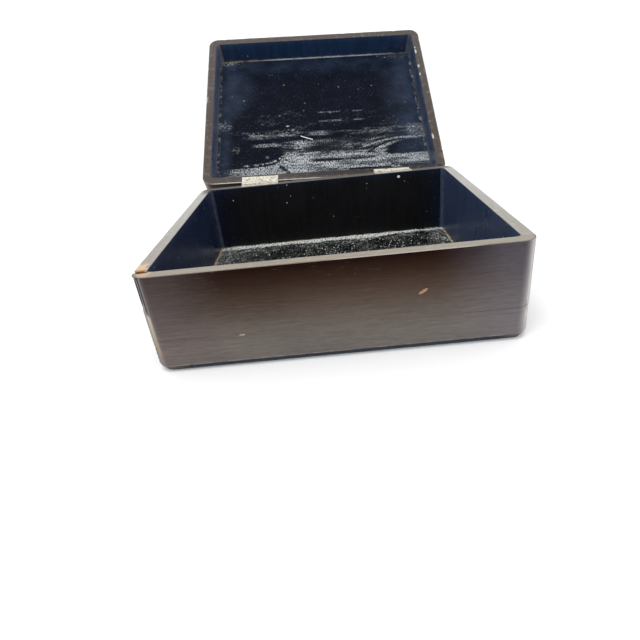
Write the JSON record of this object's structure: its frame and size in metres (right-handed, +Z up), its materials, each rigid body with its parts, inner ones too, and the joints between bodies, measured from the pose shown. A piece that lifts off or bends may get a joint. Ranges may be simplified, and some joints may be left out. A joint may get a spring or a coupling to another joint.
{
  "type": "jewelry box",
  "caption": "Rectangular wooden jewelry box with rounded corners, a deep hollow base and a deep lid on butt hinges, standing open; holds jewelry and keepsakes.",
  "frame": {"origin": "centre of the flat underside that the box stands on", "axes": "+X to the right seen from the front, +Y to the back where the hinges are, +Z up; the lid is stored standing open"},
  "size_m": [0.2632, 0.4154, 0.2154],
  "materials": {
    "dark_lacquered_wood": "dark brown-black lacquer, semi-gloss, worn at the arrises",
    "floor_lacquer": "black lacquer, semi-gloss, dusty",
    "panel_lacquer": "blue-black lacquer over raised grain, semi-gloss",
    "hinge_metal": "plated steel, dulled, with rust spots",
    "screw_steel": "plated steel, dulled",
    "nail_iron": "bare, browned iron"
  },
  "bodies": {
    "box": {"front_lower_board": "dark_lacquered_wood", "front_upper_board": "dark_lacquered_wood", "back_lower_board": "dark_lacquered_wood", "back_upper_board": "dark_lacquered_wood", "left_lower_board": "dark_lacquered_wood", "left_upper_board": "dark_lacquered_wood", "right_lower_board": "dark_lacquered_wood", "right_upper_board": "dark_lacquered_wood", "bottom_board": "floor_lacquer", "left_hinge_base_leaf": "hinge_metal", "right_hinge_base_leaf": "hinge_metal", "left_hinge_pin": "hinge_metal", "right_hinge_pin": "hinge_metal", "base_hinge_screws": "screw_steel", "corner_nails": "nail_iron", "bottom_nails": "nail_iron"},
    "lid": {"lid_top_panel": "panel_lacquer", "lid_front_wall": "dark_lacquered_wood", "lid_back_wall": "dark_lacquered_wood", "lid_left_wall": "dark_lacquered_wood", "lid_right_wall": "dark_lacquered_wood", "left_hinge_lid_leaf": "hinge_metal", "right_hinge_lid_leaf": "hinge_metal", "lid_hinge_screws": "screw_steel", "lid_corner_nails": "nail_iron", "lid_panel_nails": "nail_iron"}
  },
  "joints": [
    {"name": "lid_hinge", "type": "hinge", "parent": "box", "child": "lid", "pos_m": [0, 0.11195, 0.07205], "axis": [0.9997, 0.0018, -0.0231], "range_deg": [-39, 140.9]}
  ]
}
